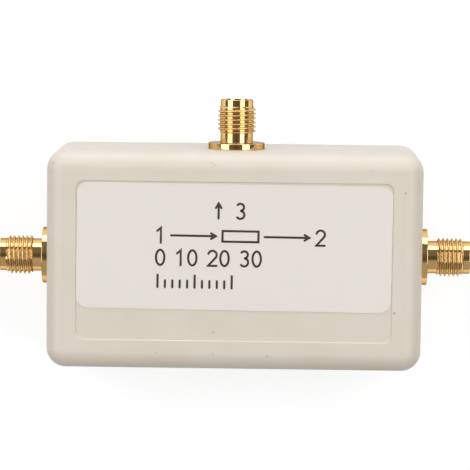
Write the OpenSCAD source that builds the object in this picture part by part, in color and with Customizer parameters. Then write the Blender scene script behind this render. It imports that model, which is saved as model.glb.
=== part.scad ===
// Return-loss bridge: a moulded two-part instrument case with three gold-plated coaxial jacks.
// Units are millimetres. The case lies on its back with the label facing up.
// The origin is the centre of the back face, +Z points out of the label,
// +X points to the output jack and +Y points to the test jack.

/* [Case] */
// Length of the case between the input and output walls
case_l = 61; // [58:0.5:80]
// Width of the case, towards the test jack
case_w = 35.6; // [35:0.1:50]
// Height of the closed case, back face to front face
case_h = 20.4; // [19.6:0.1:26]
// Thickness of the side walls and of the front wall
wall = 2; // [1.7:0.1:2.4]
// Radius of the four upright corners
corner_r = 3.2; // [3:0.1:4.5]
// Radius of the rounded edge round the front face
front_edge_r = 2.9; // [1.5:0.1:2.9]
// Radius of the rounded edge round the back face
back_edge_r = 0.8; // [0.4:0.1:1.5]

/* [Rear cover] */
// Height of the rear cover, back face to parting line
cover_h = 4; // [3.5:0.1:5]
// Thickness of the cover's plate
cover_plate = 2; // [1.6:0.1:2.4]
// Height of the locating lip above the parting line
lip_h = 1.5; // [1:0.1:2]
// Thickness of the locating lip
lip_t = 1; // [0.8:0.1:1.2]
// Gap between the lip and the shell's inner wall
lip_gap = 0.15; // [0.1:0.05:0.25]

/* [Label recess] */
// Length of the recess in the front face
recess_l = 51.2; // [44:0.1:52]
// Width of the recess in the front face
recess_w = 25.8; // [22:0.1:27]
// Depth of the recess
recess_depth = 0.2; // [0.15:0.05:0.6]
// Corner radius of the recess
recess_r = 1.3; // [0.5:0.1:2]

/* [Label] */
// Length of the label
label_l = 51; // [40:0.1:51]
// Width of the label
label_w = 20.5; // [15:0.1:21]
// Thickness of the label's film
label_t = 0.08; // [0.05:0.01:0.12]
// Corner radius of the label
label_r = 1.9; // [0.5:0.1:3]
// Gap between the label's upper edge and the recess wall
label_top_gap = 0.3; // [0.3:0.05:0.8]
// Angle by which the label was stuck on askew, in degrees
label_turn = -0.35; // [-0.4:0.05:0.4]

/* [Screws and posts] */
// Inset of the corner screws from the case's sides
screw_inset = 4.2; // [3.9:0.1:4.5]
// Outer diameter of the screw posts
post_d = 5.6; // [5:0.1:6]
// Outer diameter of the screw thread
screw_d = 2.2; // [2:0.1:2.6]
// Length of the screws under the head
screw_l = 9; // [7:0.5:11]
// Diameter of the screw heads
screw_head_d = 4; // [3.6:0.1:4.2]
// Height of the screw heads
screw_head_h = 1.5; // [1:0.1:1.6]
// Diameter of the counterbores that sink the heads
counterbore_d = 4.7; // [4.5:0.1:5]

/* [Jacks] */
// Offset of the input jack from the middle of its wall
input_port_y = -0.1; // [-1:0.1:1]
// Offset of the output jack from the middle of its wall
output_port_y = 0.3; // [-1:0.1:1]
// Offset of the test jack from the middle of its wall
test_port_x = 0.1; // [-2:0.05:2]
// Diameter of the round flange
flange_d = 9.2; // [8.8:0.1:10]
// Thickness of the round flange
flange_t = 1; // [0.8:0.05:1.2]
// Diameter of the plain neck and the plain tip
neck_d = 5.3; // [5.2:0.05:5.5]
// Length of the plain neck between flange and thread
neck_l = 1.6; // [1.4:0.05:2.5]
// Outer diameter of the coupling thread
thread_d = 6.3; // [6.2:0.05:6.35]
// Length of the coupling thread, with its bevels
thread_l = 4.35; // [3.8:0.05:5]
// Length of the plain tip beyond the thread
tip_l = 1.1; // [0.8:0.05:1.5]
// Length of the threaded barrel behind the flange
barrel_l = 5.8; // [5.4:0.1:6.2]
// Diameter of the mouth that takes the plug
mouth_d = 4.6; // [4.5:0.05:4.7]
// Depth of the mouth down to the insulator
mouth_depth = 1.9; // [1.7:0.05:2.1]

/* [Insulators and contacts] */
// Diameter of the insulator
insulator_d = 4.1; // [3.9:0.05:4.2]
// Length of insulator that stands out behind the barrel
insulator_proud = 1; // [0.5:0.1:1.2]
// Diameter of the centre contact
contact_d = 1.27; // [1.2:0.01:1.3]
// Length of contact that stands out behind the insulator
contact_proud = 2.5; // [2.2:0.1:2.8]
// Diameter of the socket in the contact
socket_d = 0.94; // [0.9:0.01:0.96]
// Depth of the socket in the contact
socket_depth = 3; // [2.5:0.1:3.5]
// Width of the slots between the contact's spring fingers
slot_w = 0.2; // [0.15:0.01:0.25]
// Length of the slots
slot_l = 2.2; // [1.8:0.1:2.6]

/* [Nuts, washers and ground tags] */
// Size of the nut across its flats
nut_af = 8; // [7.9:0.1:8.2]
// Thickness of the nut
nut_t = 2; // [1.5:0.1:2]
// Outer diameter of the toothed lock washer
washer_d = 8.8; // [8.4:0.1:9]
// Width of the washer's outer ring
washer_ring = 0.6; // [0.5:0.05:0.7]
// Number of inner teeth on the washer
washer_teeth = 10; // [8:1:12]
// Width of one washer tooth
washer_tooth_w = 1; // [0.8:0.1:1.1]
// Thickness of the washer
washer_t = 0.5; // [0.4:0.05:0.6]
// Outer diameter of the ground tag's ring
tag_d = 8.4; // [8:0.1:8.8]
// Thickness of the ground tag
tag_t = 0.4; // [0.3:0.05:0.5]
// Width of the ground tag's foot
tag_w = 2.4; // [2:0.1:3]
// Inner radius of the ground tag's bend
tag_bend_r = 0.4; // [0.3:0.05:0.6]
// Height of the ground tag's ear above its foot
tag_ear_h = 2.4; // [2:0.1:2.8]
// Gap between the nut's corner and the foot
tag_side_gap = 0.4; // [0.3:0.1:0.8]

/* [Circuit board] */
// Thickness of the circuit board
board_t = 1.6; // [1.4:0.1:1.8]
// Distance from an insulator's end to the edge of the board
board_edge_gap = 0.7; // [0.5:0.1:1]
// Distance from the wall opposite the test jack to the board
board_foot_gap = 2.4; // [2:0.1:3]
// Film of solder between a contact's tail and the board
solder_film = 0.1; // [0.08:0.01:0.15]
// Distance that a ground tag's foot reaches onto the board
tag_reach = 1.6; // [1.2:0.1:2]
// Distance of the support ribs and stand-offs from the middle
support_x = 17; // [14:0.5:18]
// Thickness of the shell's support ribs
rib_t = 1.2; // [1:0.1:1.6]
// Distance that a rib reaches over the edge of the board
rib_reach = 1; // [0.8:0.1:1.4]
// Diameter of the cover's stand-offs
standoff_d = 4; // [3.5:0.1:4.5]
// Diameter of the holes in the stand-offs
standoff_hole_d = 1.6; // [1.4:0.1:1.8]
// Distance from the board's long edges to the stand-off axes
standoff_inset = 3; // [2.5:0.1:4]

/* [Parts on the board] */
// Length of a chip resistor
chip_l = 3.2; // [3:0.1:3.3]
// Width of a chip resistor
chip_w = 1.6; // [1.5:0.1:1.7]
// Height of a chip resistor
chip_h = 0.6; // [0.5:0.05:0.7]
// Length of a chip's metal end
chip_end = 0.5; // [0.4:0.05:0.6]
// Step between two chips side by side
chip_spacing = 2.2; // [2:0.1:2.5]
// Outer diameter of a ferrite bead
bead_d = 5; // [4.5:0.1:5.5]
// Diameter of the hole through a bead
bead_hole_d = 2; // [2:0.1:2.4]
// Length of a bead
bead_l = 4; // [3.5:0.1:4]
// Number of beads on the coaxial lead
bead_count = 5; // [3:1:5]
// Gap between neighbouring beads
bead_gap = 0.1; // [0.05:0.05:0.2]
// Outer diameter of the coaxial lead
coax_d = 1.8; // [1.7:0.05:1.9]
// Diameter of the lead's dielectric
dielectric_d = 0.84; // [0.8:0.02:0.9]
// Diameter of the lead's inner conductor
conductor_d = 0.3; // [0.26:0.02:0.34]
// Radius of the lead's bends, at its centre line
coax_bend_r = 1.8; // [1.7:0.05:1.9]
// Bare length of dielectric at each end
strip_l = 0.3; // [0.2:0.05:0.35]

/* [Hidden] */
$fn = 64;

// Overlap that makes a cut pass clean through a face
cut = 0.1;
// Clearance of parts that are pressed or soldered together
fit_gap = 0.01;
// Clearance of the barrels in the case and in what is threaded over them
barrel_gap = 0.1;
// Clearance of the nut on the barrel
nut_gap = 0.02;
// Bevel on the ends of threads and on the rims of flange and tip
thread_bevel = 0.35;
rim_bevel = 0.12;
// Clearance of the lip round the shell's posts
post_gap = 0.25;
// Clearance of the screws in the cover's holes
screw_gap = 0.2;
// Depth of the pilot holes beyond the screw tips
pilot_spare = 1.5;
// Bevel on the nut's corners
nut_bevel = 0.35;
// Width, span and depth of the cross recess in a screw head
cross_w = 0.6;
cross_span = 2.4;
cross_depth = 0.8;
// Half widths and height of the solder fillet over a contact's tail
fillet_foot = 1.2;
fillet_top = 0.78;
fillet_rise = 0.9;
fillet_l = 1.5;
// Step by which a chip's metal ends stand proud of its body
chip_lip = 0.03;
// Clearance of the parts on the board from the lead and from each other
part_gap = 1.2;

inner_l = case_l - 2 * wall;
inner_w = case_w - 2 * wall;
inner_r = corner_r - wall;
front_z = case_h - wall;
// The jacks are drilled half way up the shell's side walls
port_z = (cover_h + case_h) / 2;
recess_z = case_h - recess_depth;

thread_r = thread_d / 2;
neck_r = neck_d / 2;
jack_l = flange_t + neck_l + thread_l + tip_l;
mouth_z = jack_l - mouth_depth;
insulator_back = -(barrel_l + insulator_proud);
contact_back = insulator_back - contact_proud;
washer_back = -(wall + washer_t);
tag_back = washer_back - tag_t;
nut_back = tag_back - nut_t;
nut_corner_r = nut_af / 2 / cos(30);

board_top = port_z - contact_d / 2 - solder_film;
board_bottom = board_top - board_t;
board_setback = -insulator_back + board_edge_gap;
board_half_l = case_l / 2 - board_setback;
board_back_y = case_w / 2 - board_setback;
board_front_y = -(inner_w / 2 - board_foot_gap);
tag_foot_y = board_top - port_z;
tag_foot_x = nut_corner_r + tag_side_gap;
tag_foot_end = board_setback + tag_reach;

screw_x = case_l / 2 - screw_inset;
screw_y = case_w / 2 - screw_inset;

// Bead stack, lead and chips, laid out from the board's front edge
bead_z = board_top + bead_d / 2;
bead_y = board_front_y + bead_d / 2 + part_gap;
bead_stack_l = bead_count * bead_l + (bead_count - 1) * bead_gap;
coax_run = bead_stack_l + 2 * part_gap;
coax_drop = bead_z - coax_bend_r - board_top;
chip_row_y = bead_y + bead_d / 2 + part_gap + chip_l / 2;
test_row_y = chip_row_y + chip_l + part_gap;
reference_x = part_gap + chip_w + chip_spacing / 2 - (board_half_l - tag_reach);

// Jack positions: point on the outer wall, then the turn that faces it outwards
INPUT = [-case_l / 2, input_port_y, 180];
OUTPUT = [case_l / 2, output_port_y, 0];
TEST = [test_port_x, case_w / 2, 90];

plastic = [0.87, 0.83, 0.77];
gold = [0.83, 0.64, 0.28];
tin = [0.78, 0.78, 0.76];

// Rounded rectangle, centred, from squares and circles
module plan(l, w, r) {
    square([l - 2 * r, w], center = true);
    square([l, w - 2 * r], center = true);
    for (x = [-1, 1], y = [-1, 1])
        translate([x * (l / 2 - r), y * (w / 2 - r)]) circle(r);
}

// Section of a wall edge: full width below, rounded by r where it meets the top
module edge_section(half, h, r) {
    square([half, h - r]);
    square([half - r, h]);
    translate([half - r, h - r]) circle(r);
}

// The same section mirrored about its middle, for a whole bar
module bar_section(half, h, r) {
    for (m = [0, 1]) mirror([m, 0]) intersection() {
        edge_section(half, h, r);
        square([half, h]);
    }
}

// Block with upright corners of radius rc and a top edge of radius re
module moulded_block(l, w, h, rc, re) {
    rotate([90, 0, 90]) linear_extrude(l - 2 * rc, center = true) bar_section(w / 2, h, re);
    rotate([90, 0, 0]) linear_extrude(w - 2 * rc, center = true) bar_section(l / 2, h, re);
    for (x = [-1, 1], y = [-1, 1])
        translate([x * (l / 2 - rc), y * (w / 2 - rc), 0])
            rotate_extrude() intersection() {
                edge_section(rc, h, re);
                square([rc, h]);
            }
}

module at_screws() {
    for (x = [-1, 1], y = [-1, 1]) translate([x * screw_x, y * screw_y, 0]) children();
}

// Local frame of a jack: Z out of the case, Y towards the label, origin on the outer wall
module at_port(port) {
    translate([port[0], port[1], port_z]) rotate([0, 0, port[2]]) rotate([90, 0, 90]) children();
}

// Ribs that come down from the front wall and bear on the board's long edges
module support_ribs() {
    for (x = [-1, 1]) {
        translate([x * support_x - rib_t / 2, board_back_y - rib_reach, board_top])
            cube([rib_t, case_w / 2 - wall / 2 - board_back_y + rib_reach, front_z + wall / 4 - board_top]);
        translate([x * support_x - rib_t / 2, -(case_w / 2 - wall / 2), board_top])
            cube([rib_t, case_w / 2 - wall / 2 + board_front_y + rib_reach, front_z + wall / 4 - board_top]);
    }
}

module front_shell() {
    color(plastic) difference() {
        union() {
            difference() {
                translate([0, 0, cover_h])
                    moulded_block(case_l, case_w, case_h - cover_h, corner_r, front_edge_r);
                translate([0, 0, cover_h - cut])
                    linear_extrude(front_z - cover_h + cut) plan(inner_l, inner_w, inner_r);
            }
            at_screws() translate([0, 0, cover_h]) cylinder(h = front_z + wall / 4 - cover_h, d = post_d);
            support_ribs();
        }
        translate([0, 0, recess_z])
            linear_extrude(recess_depth + cut) plan(recess_l, recess_w, recess_r);
        at_screws() translate([0, 0, cover_h - cut])
            cylinder(h = cover_plate + screw_l + pilot_spare - cover_h + cut, d = screw_d + 2 * nut_gap);
        for (port = [INPUT, OUTPUT, TEST])
            at_port(port) translate([0, 0, -(wall + cut)])
                cylinder(h = wall + 2 * cut, r = thread_r + barrel_gap);
    }
}

module rear_cover() {
    lip_l = inner_l - 2 * lip_gap;
    lip_w = inner_w - 2 * lip_gap;
    lip_r = inner_r - lip_gap;
    color(plastic) difference() {
        union() {
            difference() {
                union() {
                    translate([0, 0, cover_h]) mirror([0, 0, 1])
                        moulded_block(case_l, case_w, cover_h, corner_r, back_edge_r);
                    translate([0, 0, cover_plate])
                        linear_extrude(cover_h + lip_h - cover_plate) plan(lip_l, lip_w, lip_r);
                }
                translate([0, 0, cover_plate]) linear_extrude(cover_h + lip_h)
                    plan(lip_l - 2 * lip_t, lip_w - 2 * lip_t, lip_r);
                at_screws() translate([0, 0, cover_h])
                    cylinder(h = lip_h + cut, d = post_d + 2 * post_gap);
            }
            at_screws() translate([0, 0, cover_plate / 2]) cylinder(h = cover_h - cover_plate / 2, d = post_d);
            for (x = [-1, 1], y = [board_front_y + standoff_inset, board_back_y - standoff_inset])
                translate([x * support_x, y, cover_plate / 2])
                    cylinder(h = board_bottom - cover_plate / 2, d = standoff_d);
        }
        at_screws() {
            translate([0, 0, -cut]) cylinder(h = cover_plate + cut, d = counterbore_d);
            cylinder(h = cover_h + cut, d = screw_d + 2 * screw_gap);
        }
        for (x = [-1, 1], y = [board_front_y + standoff_inset, board_back_y - standoff_inset])
            translate([x * support_x, y, cover_plate])
                cylinder(h = board_bottom, d = standoff_hole_d);
    }
}

module cover_screws() {
    head_z = cover_plate - screw_head_h;
    color("silver") at_screws() difference() {
        union() {
            translate([0, 0, head_z]) cylinder(h = screw_head_h, d = screw_head_d);
            translate([0, 0, cover_plate]) cylinder(h = screw_l, d = screw_d);
        }
        for (turn = [0, 90]) rotate([0, 0, turn])
            translate([-cross_span / 2, -cross_w / 2, head_z - cut])
                cube([cross_span, cross_w, cross_depth + cut]);
    }
}

module face_label() {
    label_y = recess_w / 2 - label_top_gap - label_w / 2;
    color([0.93, 0.91, 0.88]) translate([0, label_y, recess_z]) rotate([0, 0, label_turn])
        linear_extrude(label_t) plan(label_l, label_w, label_r);
}

// Turned body of a jack: barrel, flange, neck, thread and tip, bored for the insulator
module jack_body() {
    thread_z = flange_t + neck_l;
    thread_end = thread_z + thread_l;
    bore_r = insulator_d / 2 + fit_gap;
    color(gold) rotate_extrude() polygon([
        [bore_r, -barrel_l], [thread_r - thread_bevel, -barrel_l],
        [thread_r, thread_bevel - barrel_l], [thread_r, 0],
        [flange_d / 2, 0], [flange_d / 2, flange_t - rim_bevel],
        [flange_d / 2 - rim_bevel, flange_t], [neck_r, flange_t],
        [neck_r, thread_z], [thread_r - thread_bevel, thread_z],
        [thread_r, thread_z + thread_bevel], [thread_r, thread_end - thread_bevel],
        [thread_r - thread_bevel, thread_end], [neck_r, thread_end],
        [neck_r, jack_l - rim_bevel], [neck_r - rim_bevel, jack_l],
        [mouth_d / 2, jack_l], [mouth_d / 2, mouth_z], [bore_r, mouth_z]
    ]);
}

module jack_insulator() {
    color("white") translate([0, 0, insulator_back]) difference() {
        cylinder(h = mouth_z - insulator_back, d = insulator_d);
        translate([0, 0, -cut]) cylinder(h = mouth_z - insulator_back + 2 * cut, d = contact_d + 2 * fit_gap);
    }
}

module jack_contact() {
    color(gold) difference() {
        translate([0, 0, contact_back]) cylinder(h = mouth_z - contact_back, d = contact_d);
        translate([0, 0, mouth_z - socket_depth]) cylinder(h = socket_depth + cut, d = socket_d);
        for (turn = [0, 90]) rotate([0, 0, turn])
            translate([-contact_d, -slot_w / 2, mouth_z - slot_l])
                cube([2 * contact_d, slot_w, slot_l + cut]);
    }
}

// Flat ring with teeth that reach in to the barrel
module lock_washer() {
    tip_r = thread_r + barrel_gap;
    ring_r = washer_d / 2 - washer_ring;
    color(gold) translate([0, 0, washer_back]) linear_extrude(washer_t) {
        difference() {
            circle(d = washer_d);
            circle(ring_r);
        }
        difference() {
            for (i = [0 : washer_teeth - 1]) rotate(i * 360 / washer_teeth)
                translate([0, -washer_tooth_w / 2]) square([ring_r + washer_ring / 2, washer_tooth_w]);
            circle(tip_r);
        }
    }
}

// Section of the bent ear and foot, in the plane of the jack's axis
module tag_section() {
    outer_r = tag_bend_r + tag_t;
    bend_z = -washer_back + outer_r;
    translate([tag_back, tag_foot_y + outer_r]) square([tag_t, tag_ear_h - outer_r]);
    translate([-tag_foot_end, tag_foot_y]) square([tag_foot_end - bend_z, tag_t]);
    translate([-bend_z, tag_foot_y + outer_r]) intersection() {
        difference() {
            circle(outer_r);
            circle(tag_bend_r);
        }
        translate([0, -outer_r]) square(outer_r);
    }
}

// Ring under the nut, with an ear that bends over to a foot soldered on the board
module ground_tag() {
    ear_y = tag_foot_y + tag_bend_r + tag_t;
    color(tin) {
        translate([0, 0, tag_back]) linear_extrude(tag_t) difference() {
            union() {
                circle(d = tag_d);
                translate([0, ear_y]) square([tag_foot_x + tag_w, tag_foot_y + tag_ear_h - ear_y]);
            }
            circle(thread_r + barrel_gap);
        }
        translate([tag_foot_x + tag_w, 0, 0]) rotate([0, -90, 0]) linear_extrude(tag_w) tag_section();
    }
}

module hex_nut() {
    color(gold) translate([0, 0, nut_back]) difference() {
        intersection() {
            cylinder(h = nut_t, r = nut_corner_r, $fn = 6);
            rotate_extrude() polygon([
                [0, 0], [nut_af / 2, 0], [nut_af / 2 + 2 * nut_bevel, nut_bevel],
                [nut_af / 2 + 2 * nut_bevel, nut_t - nut_bevel], [nut_af / 2, nut_t], [0, nut_t]
            ]);
        }
        translate([0, 0, -cut]) cylinder(h = nut_t + 2 * cut, r = thread_r + nut_gap);
    }
}

module input_jack() { at_port(INPUT) jack_body(); }
module input_insulator() { at_port(INPUT) jack_insulator(); }
module input_contact() { at_port(INPUT) jack_contact(); }
module input_lock_washer() { at_port(INPUT) lock_washer(); }
module input_ground_tag() { at_port(INPUT) ground_tag(); }
module input_nut() { at_port(INPUT) hex_nut(); }
module output_jack() { at_port(OUTPUT) jack_body(); }
module output_insulator() { at_port(OUTPUT) jack_insulator(); }
module output_contact() { at_port(OUTPUT) jack_contact(); }
module output_lock_washer() { at_port(OUTPUT) lock_washer(); }
module output_ground_tag() { at_port(OUTPUT) ground_tag(); }
module output_nut() { at_port(OUTPUT) hex_nut(); }
module test_jack() { at_port(TEST) jack_body(); }
module test_insulator() { at_port(TEST) jack_insulator(); }
module test_contact() { at_port(TEST) jack_contact(); }
module test_lock_washer() { at_port(TEST) lock_washer(); }
module test_ground_tag() { at_port(TEST) ground_tag(); }
module test_nut() { at_port(TEST) hex_nut(); }

module circuit_board() {
    color("darkgreen") translate([-board_half_l, board_front_y, board_bottom])
        cube([2 * board_half_l, board_back_y - board_front_y, board_t]);
}

// Solder that beds each contact's tail on the board
module pin_solder() {
    color(tin) for (port = [INPUT, OUTPUT, TEST]) at_port(port)
        translate([0, 0, -(board_setback + fillet_l)]) difference() {
            linear_extrude(fillet_l) polygon([
                [-fillet_foot, tag_foot_y], [fillet_foot, tag_foot_y],
                [fillet_top, tag_foot_y + fillet_rise], [-fillet_top, tag_foot_y + fillet_rise]
            ]);
            translate([0, 0, -cut]) cylinder(h = fillet_l + 2 * cut, r = contact_d / 2 + fit_gap);
        }
}

// Chip resistor along Y, standing on the board
module chip() {
    translate([-chip_w / 2, -chip_l / 2 + chip_end / 2, chip_lip]) cube([chip_w, chip_l - chip_end, chip_h - chip_lip]);
    for (y = [-chip_l / 2, chip_l / 2 - chip_end])
        translate([-chip_w / 2 - chip_lip, y, 0]) cube([chip_w + 2 * chip_lip, chip_end, chip_h + chip_lip]);
}

// Two pairs in parallel: one arm to the test contact, one arm to the reference
module bridge_resistors() {
    color("black") for (x = [-1, 1]) {
        translate([test_port_x + x * chip_spacing / 2, test_row_y, board_top]) chip();
        translate([test_port_x + x * chip_spacing / 2 - 2 * chip_spacing, chip_row_y, board_top]) chip();
    }
}

// Two in parallel from the reference node to ground
module reference_resistors() {
    color("black") for (x = [-1, 1])
        translate([reference_x + x * chip_spacing / 2, chip_row_y, board_top]) chip();
}

module balun_beads() {
    color([0.2, 0.2, 0.22]) for (i = [0 : bead_count - 1])
        translate([i * (bead_l + bead_gap) - bead_stack_l / 2, bead_y, bead_z]) rotate([0, 90, 0])
            difference() {
                cylinder(h = bead_l, d = bead_d);
                translate([0, 0, -cut]) cylinder(h = bead_l + 2 * cut, d = bead_hole_d);
            }
}

// One layer of the lead: a straight run through the beads, a bend down at each end and a tail
module coax_layer(outer_d, inner_d, tail) {
    module ring() {
        difference() {
            circle(d = outer_d);
            if (inner_d > 0) circle(d = inner_d);
        }
    }
    translate([0, bead_y, bead_z]) {
        rotate([90, 0, 90]) linear_extrude(coax_run, center = true) ring();
        for (m = [0, 1]) mirror([m, 0, 0]) translate([coax_run / 2, 0, -coax_bend_r]) {
            rotate([90, 0, 0]) rotate_extrude(angle = 90) translate([coax_bend_r, 0]) ring();
            if (tail > 0) translate([coax_bend_r, 0, -tail]) linear_extrude(tail) ring();
        }
    }
}

module coax_jacket() { color("saddlebrown") coax_layer(coax_d, dielectric_d + 2 * fit_gap, 0); }
module coax_dielectric() { color("white") coax_layer(dielectric_d, conductor_d + 2 * fit_gap, strip_l); }
module coax_conductor() { color("silver") coax_layer(conductor_d, 0, coax_drop); }

front_shell();
rear_cover();
cover_screws();
face_label();
input_jack();
input_insulator();
input_contact();
input_lock_washer();
input_ground_tag();
input_nut();
output_jack();
output_insulator();
output_contact();
output_lock_washer();
output_ground_tag();
output_nut();
test_jack();
test_insulator();
test_contact();
test_lock_washer();
test_ground_tag();
test_nut();
circuit_board();
pin_solder();
bridge_resistors();
reference_resistors();
balun_beads();
coax_jacket();
coax_dielectric();
coax_conductor();
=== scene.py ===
"""Looks of a return-loss bridge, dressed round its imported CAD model.

A moulded two-part case lies on its back with a printed film label on top and three turned,
gold-plated coaxial jacks in its walls. Sizes in the classes are millimetres, in the frame of
the CAD model: +Z out of the label, +X to the output jack, +Y to the test jack.
"""

from __future__ import annotations

import logging
import math
from dataclasses import dataclass, field, replace
from enum import Enum
from functools import cache

import bmesh
import bpy
from mathutils import Euler, Matrix, Vector


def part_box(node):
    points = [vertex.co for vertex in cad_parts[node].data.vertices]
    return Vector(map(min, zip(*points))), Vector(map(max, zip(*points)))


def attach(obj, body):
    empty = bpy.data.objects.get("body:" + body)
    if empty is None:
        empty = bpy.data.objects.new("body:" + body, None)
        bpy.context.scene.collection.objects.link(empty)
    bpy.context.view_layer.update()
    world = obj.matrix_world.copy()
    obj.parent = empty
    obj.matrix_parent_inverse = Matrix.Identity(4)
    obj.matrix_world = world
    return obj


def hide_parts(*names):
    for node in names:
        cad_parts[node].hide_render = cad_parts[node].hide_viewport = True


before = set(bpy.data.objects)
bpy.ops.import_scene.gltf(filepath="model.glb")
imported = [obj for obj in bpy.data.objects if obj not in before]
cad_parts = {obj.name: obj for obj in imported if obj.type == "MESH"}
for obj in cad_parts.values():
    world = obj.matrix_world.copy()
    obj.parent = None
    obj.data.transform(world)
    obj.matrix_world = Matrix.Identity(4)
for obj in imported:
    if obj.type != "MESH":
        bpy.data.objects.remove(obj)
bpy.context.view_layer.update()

log = logging.getLogger("bridge")

# Metres in a millimetre
MM = 0.001
# The body that every piece rides on
ROOT = "root"
# Points closer than this many millimetres become one
WELD = 0.001
# Edges that turn by more than this many degrees stay sharp, on the case and on a jack
CASE_SHARP = 38
JACK_SHARP = 28
# The stretch of noise that goes from one colour to the other, and from one gloss to the other
COLOUR_SPAN = (0.35, 0.65)
GLOSS_SPAN = (0.3, 0.7)
# How many times smaller the patches of gloss are than those of colour
GLOSS_FINENESS = 4
# Sockets of a Mix node for colours: its share and both colours, and its result
MIX_INPUTS = (0, 6, 7)
MIX_RESULT = 2

Point = tuple[float, float, float]
Span = tuple[float, float]
Plan = list[Span]
Rgb = tuple[int, int, int]
Socket = bpy.types.NodeSocket
Material = bpy.types.Material
Piece = bpy.types.Object


class Axis(Enum):
    """An axis of the frame, with its index."""

    X = 0
    Y = 1
    Z = 2


class Wall(Enum):
    """The wall that a jack stands on, as its outward direction along X and Y."""

    OUTPUT = (1, 0)
    TEST = (0, 1)
    INPUT = (-1, 0)


class Digit(Enum):
    """The plain numerals that the label carries."""

    ZERO = "0"
    ONE = "1"
    TWO = "2"
    THREE = "3"


class Carving(Enum):
    """What a tool does to the body that it meets."""

    JOIN = "UNION"
    CUT = "DIFFERENCE"


Tool = tuple[Carving, Piece]


def linear(colour: Rgb) -> tuple[float, ...]:
    """Turn a screen colour, from 0 to 255, into the linear one with alpha that a shader takes."""
    values = [c / 255 for c in colour]
    return tuple(v / 12.92 if v <= 0.04045 else ((v + 0.055) / 1.055) ** 2.4 for v in values) + (1.0,)


def corner_box(node: str) -> tuple[Vector, Vector]:
    """Give the lowest and the highest corner of a CAD node's box, in millimetres."""
    low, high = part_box(node)
    return low / MM, high / MM


class Graph:
    """The shader nodes of a material or of the world, added a node at a time."""

    def __init__(self, owner: Material | bpy.types.World, shader: str, coordinates: str) -> None:
        """Start the nodes.

        Args:
            owner: the material or the world.
            shader: the name of its shader node.
            coordinates: the texture coordinates that tell places apart.
        """
        owner.use_nodes = True
        self.owner = owner
        self.tree = owner.node_tree
        self.shader = self.tree.nodes[shader]
        self.place = self.tree.nodes.new("ShaderNodeTexCoord").outputs[coordinates]

    @classmethod
    def of_material(cls, name: str) -> Graph:
        """Start a material with a Principled shader and the object's own coordinates."""
        return cls(bpy.data.materials.new(name), "Principled BSDF", "Object")

    def feed(self, socket: Socket, value: object) -> None:
        """Link a socket into an input, or set the input to a plain value.

        Args:
            socket: the input.
            value: an output socket, or a number, colour or vector.
        """
        if isinstance(value, Socket):
            self.tree.links.new(value, socket)
        else:
            socket.default_value = value

    def add(self, kind: str, *values: object, **settings: object) -> bpy.types.Node:
        """Add a node.

        Args:
            kind: the node's type, without its ShaderNode prefix.
            values: what goes into its first inputs, in order.
            settings: what goes into inputs by name, and other properties of the node.

        Returns:
            The node.
        """
        node = self.tree.nodes.new("ShaderNode" + kind)
        for key, value in settings.items():
            if key in node.inputs:
                self.feed(node.inputs[key], value)
            else:
                setattr(node, key, value)
        for socket, value in zip(node.inputs, values):
            self.feed(socket, value)
        return node

    def math(self, operation: str, *values: object) -> Socket:
        """Add a Math node and give its output."""
        return self.add("Math", *values, operation=operation).outputs[0]

    def vector(self, operation: str, *values: object, out: str = "Vector") -> Socket:
        """Add a Vector Math node and give the output that is named."""
        return self.add("VectorMath", *values, operation=operation).outputs[out]

    def spread(self, value: Socket, span: Span, to: tuple[object, object]) -> Socket:
        """Map a span of values onto the span between two numbers or sockets, held at both ends."""
        return self.add("MapRange", value, *span, *to, clamp=True).outputs[0]

    def coordinate(self, axis: Axis) -> Socket:
        """Give one coordinate of the place that is shaded."""
        return self.add("SeparateXYZ", self.place).outputs[axis.value]

    def noise(self, size: float, detail: float = 3.0, stretch: Point = (1, 1, 1)) -> Socket:
        """Add noise round 0.5, its features about a size in millimetres and stretched along the axes."""
        place = self.vector("DIVIDE", self.place, stretch)
        return self.add("TexNoise", Vector=place, Scale=1 / (size * MM), Detail=detail).outputs[0]

    def blend(self, share: Socket, first: object, second: object) -> Socket:
        """Mix two colours.

        Args:
            share: how much of the second colour there is, from 0 to 1.
            first: a colour or a colour socket.
            second: a colour or a colour socket.

        Returns:
            The mixed colour.
        """
        node = self.add("Mix", data_type="RGBA")
        for index, value in zip(MIX_INPUTS, (share, first, second)):
            self.feed(node.inputs[index], value)
        return node.outputs[MIX_RESULT]

    def relief(self, height: Socket, depth: float) -> None:
        """Give the shader a relief, over any that it has.

        Args:
            height: the height from 0 to 1.
            depth: what a height of 1 stands for, in millimetres.
        """
        bump = self.add("Bump", Height=height, Distance=depth * MM)
        for link in self.shader.inputs["Normal"].links:
            self.feed(bump.inputs["Normal"], link.from_socket)
        self.set(Normal=bump.outputs[0])

    def set(self, **values: object) -> None:
        """Set inputs of the shader, whose names are given with _ for a space."""
        for key, value in values.items():
            self.feed(self.shader.inputs[key.replace("_", " ")], value)


@dataclass(frozen=True)
class Mark:
    """A speck, scuff or scratch on the front of the case, as a soft ellipse."""

    x: float
    y: float
    length: float
    width: float
    turn: float
    strength: float


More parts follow.
